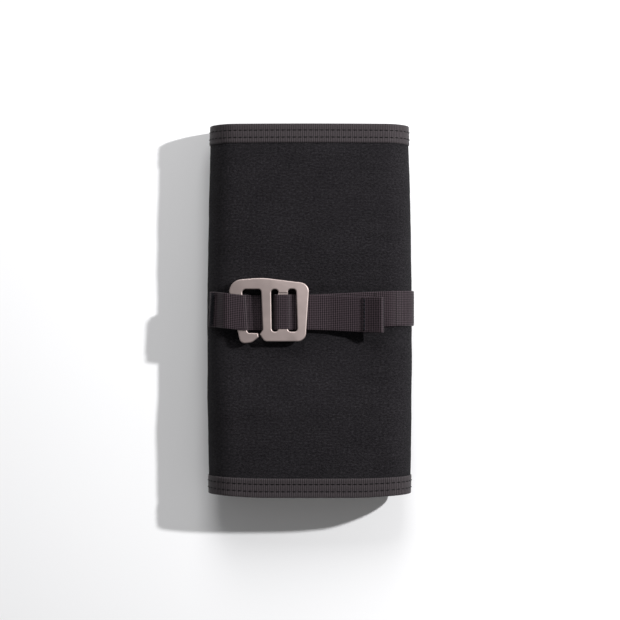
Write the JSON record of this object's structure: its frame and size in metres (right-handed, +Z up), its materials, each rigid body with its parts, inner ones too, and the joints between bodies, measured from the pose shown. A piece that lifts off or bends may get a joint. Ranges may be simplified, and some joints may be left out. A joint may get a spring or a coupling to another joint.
{
  "type": "folded climbing skins in a storage wrap",
  "caption": "Pair of ski climbing skins folded up inside a rolled cloth storage wrap, closed by a webbing strap and a flat metal hook.",
  "frame": {"origin": "middle of the bottom of the whole object's box, where the closed wrap rests on a surface", "axes": "+X across the wrap towards the side where the strap comes round, +Y along the wrap towards the open end that holds the tip and tail hardware, +Z up through the front with the hook"},
  "size_m": [0.1472, 0.2634, 0.0542],
  "materials": {
    "shell_cloth": "tight plain weave nylon, matt charcoal",
    "lining_cloth": "smooth coated lining, dark grey",
    "binding_tape": "ribbed grosgrain, warm dark grey",
    "webbing": "ribbed flat webbing, warm dark grey",
    "thread": "bonded sewing thread",
    "anodised_hook": "bead-blasted champagne anodising",
    "skin_plush": "short directional pile",
    "skin_glue": "tacky adhesive film",
    "skin_saver": "fine open mesh",
    "steel_plate": "brushed stainless",
    "steel_wire": "drawn stainless wire",
    "rivet": "polished rivet and pin",
    "tail_webbing": "flat webbing, black",
    "lever": "moulded plastic"
  },
  "bodies": {
    "wrap": {"outer_shell": "shell_cloth", "inner_lining": "lining_cloth", "end_binding_top": "binding_tape", "end_binding_bottom": "binding_tape", "flap_edge_binding": "binding_tape", "inner_edge_binding": "binding_tape", "back_strap": "webbing", "loop_anchor": "webbing", "hook_loop": "webbing", "loop_bartack": "thread"},
    "front_strap": {"strap_main": "webbing"},
    "hook": {"g_hook": "anodised_hook", "strap_bight": "webbing"},
    "tail": {"strap_tail": "webbing", "tail_hem": "webbing", "tail_stitching": "thread"},
    "lower_skin": {"lower_skin_plush": "skin_plush", "lower_skin_glue": "skin_glue", "lower_skin_saver": "skin_saver", "lower_tip_plate": "steel_plate", "lower_tip_rivets": "rivet", "lower_tail_strap": "tail_webbing", "lower_tail_clip": "steel_plate", "lower_clip_pin": "rivet"},
    "lower_bail": {"lower_tip_bail": "steel_wire"},
    "lower_lever": {"lower_clip_lever": "lever"},
    "upper_skin": {"upper_skin_plush": "skin_plush", "upper_skin_glue": "skin_glue", "upper_skin_saver": "skin_saver", "upper_tip_plate": "steel_plate", "upper_tip_rivets": "rivet", "upper_tail_strap": "tail_webbing", "upper_tail_clip": "steel_plate", "upper_clip_pin": "rivet"},
    "upper_bail": {"upper_tip_bail": "steel_wire"},
    "upper_lever": {"upper_clip_lever": "lever"}
  },
  "joints": [
    {"name": "strap_swing", "type": "hinge", "parent": "wrap", "child": "front_strap", "pos_m": [0.05457, 0, 0.0443], "axis": [0, 1, 0], "range_deg": [0, 110], "deforming": ["hook_loop"]},
    {"name": "hook_adjust", "type": "slide", "parent": "front_strap", "child": "hook", "axis": [-1, 0, 0], "range_m": [0, 0.008]},
    {"name": "tail_feed", "type": "slide", "parent": "hook", "child": "tail", "axis": [-1, 0, 0], "range_m": [0, 0.008]},
    {"name": "lower_skin_slide", "type": "slide", "parent": "wrap", "child": "lower_skin", "axis": [0, 1, 0], "range_m": [0, 0.27]},
    {"name": "lower_bail_turn", "type": "hinge", "parent": "lower_skin", "child": "lower_bail", "pos_m": [-0.00042, 0.104, 0.02025], "axis": [-1, 0, 0], "range_deg": [0, 25]},
    {"name": "lower_lever_turn", "type": "hinge", "parent": "lower_skin", "child": "lower_lever", "pos_m": [-0.00042, 0.113, 0.01465], "axis": [-1, 0, 0], "range_deg": [0, 38]},
    {"name": "upper_skin_slide", "type": "slide", "parent": "wrap", "child": "upper_skin", "axis": [0, 1, 0], "range_m": [0, 0.27]},
    {"name": "upper_bail_turn", "type": "hinge", "parent": "upper_skin", "child": "upper_bail", "pos_m": [-0.00042, 0.104, 0.03535], "axis": [-1, 0, 0], "range_deg": [0, 25]},
    {"name": "upper_lever_turn", "type": "hinge", "parent": "upper_skin", "child": "upper_lever", "pos_m": [-0.00042, 0.113, 0.02975], "axis": [-1, 0, 0], "range_deg": [0, 38]}
  ],
  "couplings": [
    {"joint": "tail_feed", "follows": "hook_adjust", "ratio": 1}
  ]
}
